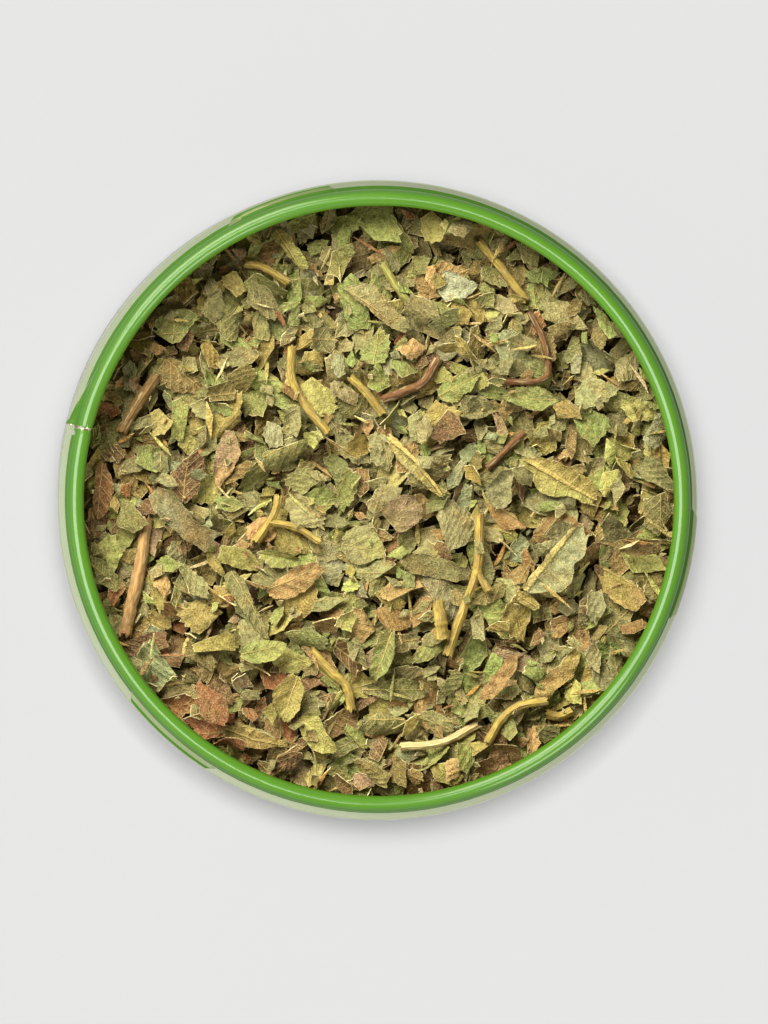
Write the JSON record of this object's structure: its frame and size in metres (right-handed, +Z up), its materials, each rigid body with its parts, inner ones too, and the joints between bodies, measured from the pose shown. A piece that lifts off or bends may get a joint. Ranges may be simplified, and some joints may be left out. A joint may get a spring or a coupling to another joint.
{
  "type": "open tin of dried cut mint",
  "caption": "Open round green-lacquered tin with a curled rim and screw lugs, filled to just under the rim with dried cut mint leaves and stems.",
  "frame": {"origin": "centre of the flat ring that the tin stands on", "axes": "+Z up, out of the tin's mouth; the side seam is 166.2 degrees round from +X towards +Y, and +X and +Y point to the right and the top of the picture, which looks straight down"},
  "size_m": [0.0728, 0.0728, 0.08],
  "materials": {
    "lacquered_steel": "glossy green lacquer on tinplate, bare pale metal along the shoulder and at the seam's cut edges",
    "tinplate": "bare tinplate, satin, with fine rolling marks",
    "dried_leaf": "matte dried mint leaf, grey-green to olive and brown, with paler raised veins",
    "dried_stem": "dull dried stem, straw-coloured to red-brown, finely ridged along its length"
  },
  "bodies": {
    "root": {"tin_body": "lacquered_steel", "tin_end": "tinplate", "mint_bed": "dried_leaf", "leaf_dark_left": "dried_leaf", "leaf_broad_top": "dried_leaf", "leaf_broad_right": "dried_leaf", "leaf_yellow_right": "dried_leaf", "leaf_dark_centre": "dried_leaf", "leaf_tan_right": "dried_leaf", "leaf_olive_right": "dried_leaf", "leaf_brown_low": "dried_leaf", "leaf_ribbed_middle": "dried_leaf", "leaf_long_low": "dried_leaf", "leaf_dark_low": "dried_leaf", "leaf_green_right": "dried_leaf", "leaf_purple_left": "dried_leaf", "leaf_brown_centre": "dried_leaf", "leaf_rolled_left": "dried_leaf", "leaf_wedge_low": "dried_leaf", "leaf_folded_low": "dried_leaf", "leaf_lime_low": "dried_leaf", "leaf_olive_low": "dried_leaf", "leaf_green_low": "dried_leaf", "leaf_rust_low": "dried_leaf", "leaf_rust_left": "dried_leaf", "leaf_ribbed_top": "dried_leaf", "leaf_orange": "dried_leaf", "leaf_green_top": "dried_leaf", "leaf_round_centre": "dried_leaf", "leaf_grey_right": "dried_leaf", "leaf_toothed_left": "dried_leaf", "leaf_pale_top": "dried_leaf", "leaf_speckled": "dried_leaf", "stem_long_left": "dried_stem", "stem_forked": "dried_stem", "stem_dark_right": "dried_stem", "stem_curved_top": "dried_stem", "stem_jointed_top": "dried_stem", "stem_bent_low": "dried_stem", "stem_pale_low": "dried_stem", "stem_stub": "dried_stem", "stem_low": "dried_stem", "stem_low_right": "dried_stem", "stem_fork_left": "dried_stem", "stem_brown_left": "dried_stem", "stem_rust_middle": "dried_stem", "stem_rust_right": "dried_stem", "stem_tan_middle": "dried_stem", "stem_tan_top": "dried_stem", "stem_olive_top": "dried_stem"}
  },
  "joints": []
}
